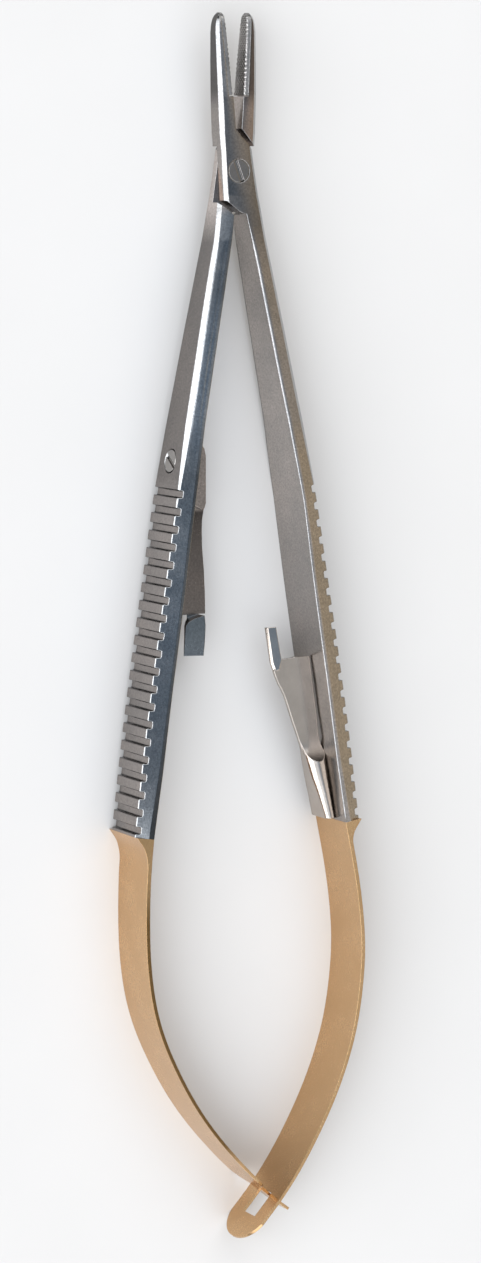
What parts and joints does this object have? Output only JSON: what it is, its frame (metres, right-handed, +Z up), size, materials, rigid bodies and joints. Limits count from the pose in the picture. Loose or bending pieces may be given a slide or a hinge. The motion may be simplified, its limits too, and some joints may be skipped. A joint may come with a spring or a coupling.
{
  "type": "surgical needle holder",
  "caption": "Spring-handled microsurgical needle holder with carbide-faced jaws, grooved flat handles, a snap lock between them and gold-coloured leaf springs.",
  "frame": {"origin": "middle of the instrument's box, on the surface it lies on", "axes": "+Y from the leaf springs to the jaw tips, +Z up and along the pivot screw, towards the slotted screw head; +X to the handle that carries the bent catch"},
  "size_m": [0.029, 0.1402, 0.0075],
  "materials": {
    "satin_steel": "satin stainless steel with bright bevelled edges",
    "polished_steel": "polished stainless steel",
    "gold_plate": "satin gold-coloured plating on spring steel",
    "carbide": "cross-hatched dark grey carbide"
  },
  "bodies": {
    "left_side": {"left_half": "satin_steel", "right_jaw_insert": "carbide", "pivot_screw": "polished_steel", "left_catch": "satin_steel", "catch_screw": "polished_steel"},
    "right_side": {"right_half": "satin_steel", "left_jaw_insert": "carbide", "right_catch": "polished_steel"},
    "left_leaf": {"left_leaf_spring": "gold_plate"},
    "right_leaf": {"right_leaf_spring": "gold_plate"}
  },
  "joints": [
    {"name": "handle_pivot", "type": "hinge", "parent": "left_side", "child": "right_side", "pos_m": [-0.00022, 0.05251, 0.00375], "axis": [0, 0, -1], "range_deg": [0, 8.9], "stiffness_Nm_per_rad": 0.6},
    {"name": "left_leaf_flex", "type": "hinge", "parent": "left_side", "child": "left_leaf", "pos_m": [-0.01455, -0.02169, 0.00375], "axis": [0, 0, -1], "range_deg": [0, 12.1]},
    {"name": "right_leaf_flex", "type": "hinge", "parent": "right_side", "child": "right_leaf", "pos_m": [0.01411, -0.02169, 0.00375], "axis": [0, 0, 1], "range_deg": [0, 12.1]}
  ],
  "couplings": [
    {"joint": "left_leaf_flex", "follows": "handle_pivot", "ratio": 1.35},
    {"joint": "right_leaf_flex", "follows": "handle_pivot", "ratio": 1.35}
  ]
}
